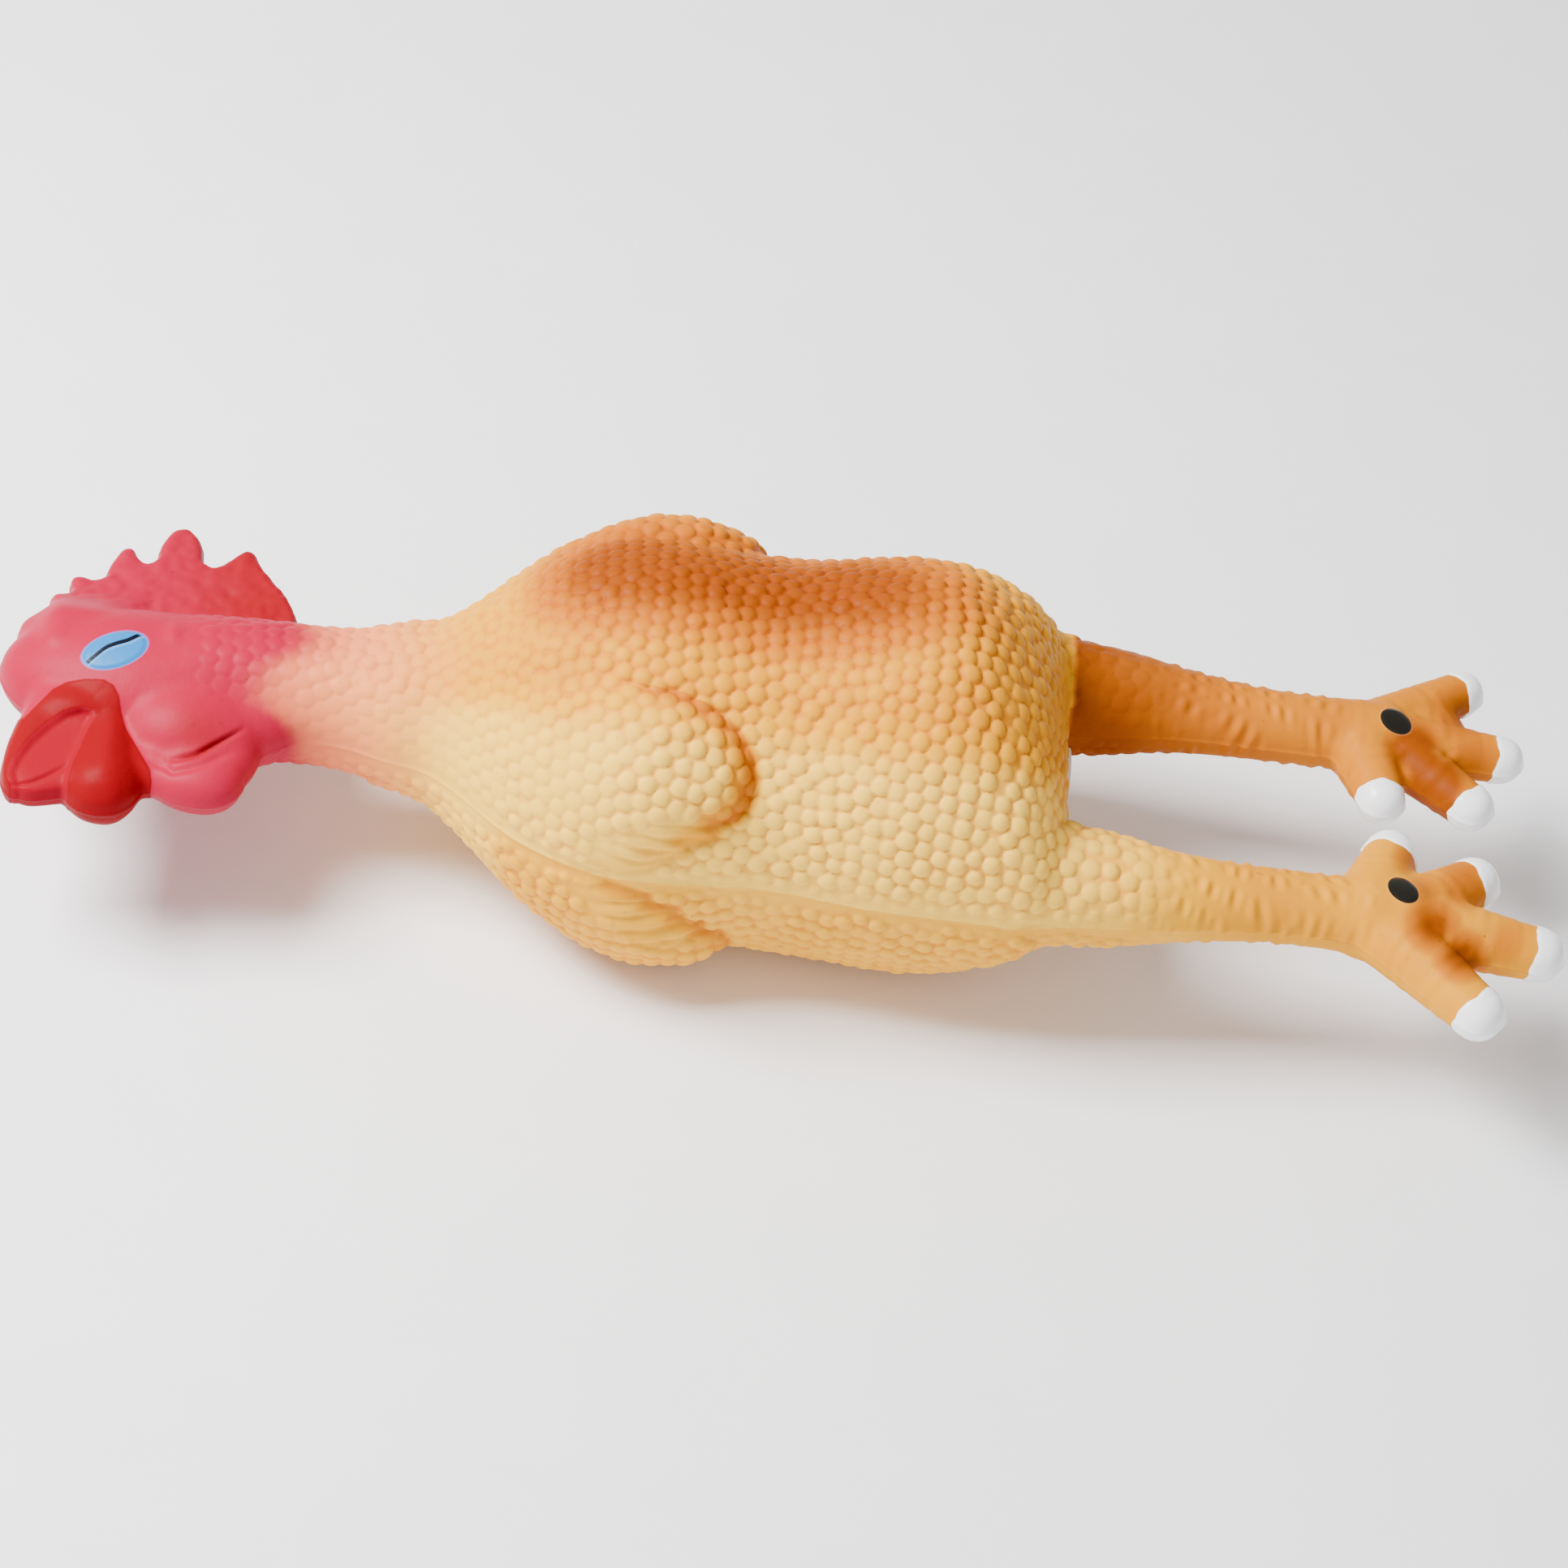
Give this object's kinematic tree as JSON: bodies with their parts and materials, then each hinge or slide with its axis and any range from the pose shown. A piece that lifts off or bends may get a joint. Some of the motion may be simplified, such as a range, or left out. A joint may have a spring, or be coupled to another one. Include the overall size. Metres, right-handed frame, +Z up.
{
  "type": "rubber chicken",
  "caption": "Hollow latex plucked chicken lying on its belly, with pimpled skin, folded wings, a pink head in profile, and a neck, legs and feet that flop and spring back.",
  "frame": {"origin": "on the table under the middle of the torso, at the flat that the belly rests on", "axes": "+X from the head to the feet along the body, +Y to the chicken's right, +Z up from belly to back"},
  "size_m": [0.4455, 0.1426, 0.1147],
  "materials": {
    "latex_cream": "satin moulded latex, airbrushed orange",
    "latex_orange": "satin moulded latex, airbrushed orange",
    "latex_pink": "satin moulded latex, pink",
    "paint_red": "glossy red paint on latex",
    "paint_blue": "satin blue paint on latex",
    "paint_white": "glossy white paint on latex",
    "paint_black": "glossy black paint on latex",
    "squeaker_white": "natural white moulded plastic",
    "reed_amber": "thin amber plastic film"
  },
  "bodies": {
    "torso": {"torso_skin": "latex_cream", "left_wing": "latex_cream", "right_wing": "latex_cream", "neck_base_fold": "latex_cream", "left_hip_fold": "latex_cream", "right_hip_fold": "latex_cream", "squeaker_cup": "squeaker_white", "squeaker_shallot": "squeaker_white", "squeaker_wedge": "squeaker_white"},
    "neck": {"neck_skin": "latex_cream", "neck_top_fold": "latex_pink"},
    "head": {"head_skin": "latex_pink", "comb": "latex_pink", "beak": "paint_red", "red_wattle": "paint_red", "cheek_wattle": "latex_pink", "left_eye": "paint_blue", "right_eye": "paint_blue"},
    "left_leg": {"left_leg_skin": "latex_orange", "left_ankle_fold": "latex_orange"},
    "left_foot": {"left_foot_skin": "latex_orange", "left_nails": "paint_white", "left_foot_spot": "paint_black"},
    "right_leg": {"right_leg_skin": "latex_orange", "right_ankle_fold": "latex_orange"},
    "right_foot": {"right_foot_skin": "latex_orange", "right_nails": "paint_white", "right_foot_spot": "paint_black"},
    "reed": {"squeaker_reed": "reed_amber"}
  },
  "joints": [
    {"name": "neck_bend", "type": "hinge", "parent": "torso", "child": "neck", "pos_m": [-0.117, 0, 0.0525], "axis": [0, 0, 1], "range_deg": [-40, 40], "stiffness_Nm_per_rad": 5, "deforming": ["neck_base_fold"]},
    {"name": "head_nod", "type": "hinge", "parent": "neck", "child": "head", "pos_m": [-0.143, 0, 0.0525], "axis": [0, 1, 0], "range_deg": [-40, 40], "stiffness_Nm_per_rad": 5, "deforming": ["neck_top_fold"]},
    {"name": "left_hip_flop", "type": "hinge", "parent": "torso", "child": "left_leg", "pos_m": [0.09, -0.038, 0.0525], "axis": [0, 1, 0], "range_deg": [-45, 45], "stiffness_Nm_per_rad": 1.5, "deforming": ["left_hip_fold"]},
    {"name": "right_hip_flop", "type": "hinge", "parent": "torso", "child": "right_leg", "pos_m": [0.09, 0.038, 0.0525], "axis": [0, 1, 0], "range_deg": [-45, 45], "stiffness_Nm_per_rad": 1.5, "deforming": ["right_hip_fold"]},
    {"name": "left_ankle_flop", "type": "hinge", "parent": "left_leg", "child": "left_foot", "pos_m": [0.153, -0.036, 0.0525], "axis": [0, 1, 0], "range_deg": [-40, 40], "stiffness_Nm_per_rad": 1.2, "deforming": ["left_ankle_fold"]},
    {"name": "right_ankle_flop", "type": "hinge", "parent": "right_leg", "child": "right_foot", "pos_m": [0.153, 0.036, 0.0525], "axis": [0, 1, 0], "range_deg": [-40, 40], "stiffness_Nm_per_rad": 1.2, "deforming": ["right_ankle_fold"]},
    {"name": "reed_flutter", "type": "hinge", "parent": "torso", "child": "reed", "pos_m": [0.064, 0, 0.053], "axis": [0, -1, 0], "range_deg": [0, 6], "stiffness_Nm_per_rad": 0.002}
  ]
}
